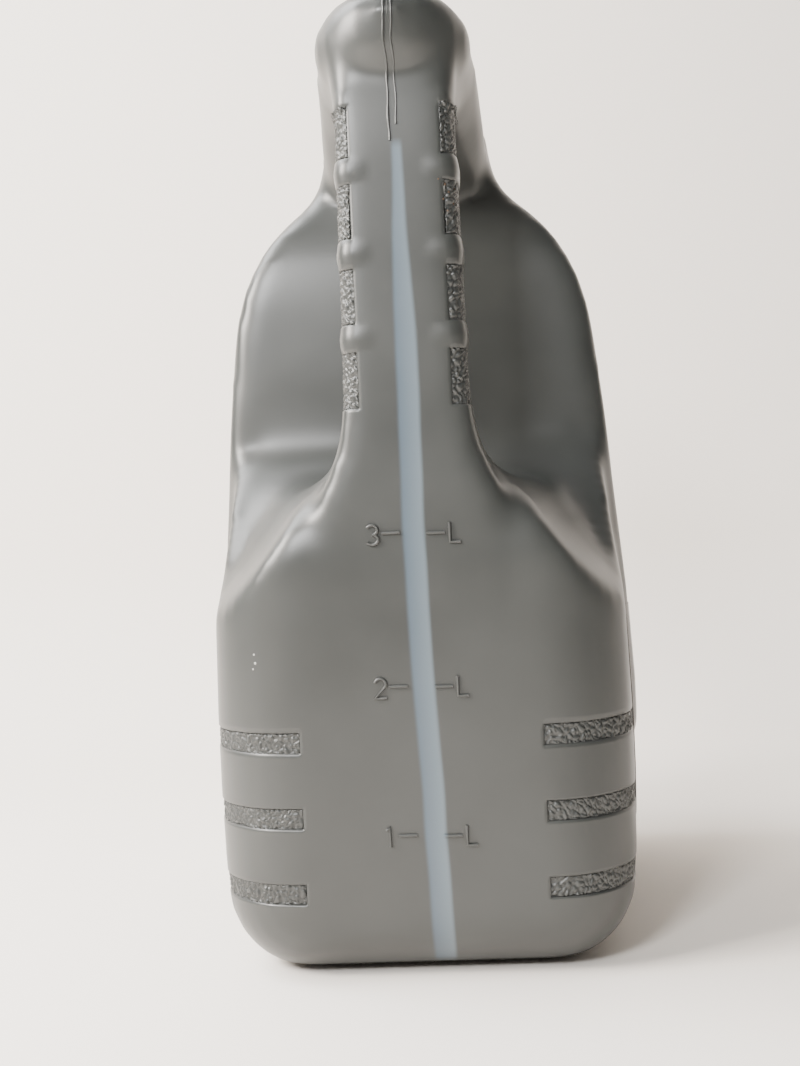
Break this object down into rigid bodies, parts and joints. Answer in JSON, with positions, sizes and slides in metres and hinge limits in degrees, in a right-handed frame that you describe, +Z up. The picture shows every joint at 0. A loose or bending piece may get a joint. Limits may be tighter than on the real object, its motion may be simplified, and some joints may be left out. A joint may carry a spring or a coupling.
{
  "type": "motor oil bottle",
  "caption": "Blow-moulded oil jug with an upright hollow handle at one narrow end, a clear level stripe with litre marks, and a screw cap on an offset neck.",
  "frame": {"origin": "centre of the underside, on the plane the jug stands on", "axes": "+Z up, the handle and the narrow face with the litre marks look along -Y, the broad label faces look along -X and +X"},
  "size_m": [0.1412, 0.19, 0.306],
  "materials": {
    "satin_grey_hdpe": "satin blow-moulded polyethylene",
    "cap_plastic": "satin moulded polypropylene",
    "wad_foam": "matt foamed polyethylene",
    "label_film": "printed film"
  },
  "bodies": {
    "jug": {"bottle": "satin_grey_hdpe", "tamper_ring": "cap_plastic", "front_label": "label_film", "rear_label": "label_film"},
    "liner": {"cap_liner": "wad_foam"},
    "screw_cap": {"cap": "cap_plastic"}
  },
  "joints": [
    {"name": "cap_lift", "type": "slide", "parent": "jug", "child": "liner", "axis": [0, 0, 1], "range_m": [0, 0.008]},
    {"name": "cap_turn", "type": "hinge", "parent": "liner", "child": "screw_cap", "pos_m": [0, 0.022, 0.3], "axis": [0, 0, 1], "range_deg": [0, 720]}
  ],
  "couplings": [
    {"joint": "cap_lift", "follows": "cap_turn", "m_per_rad": 0.00063662}
  ]
}
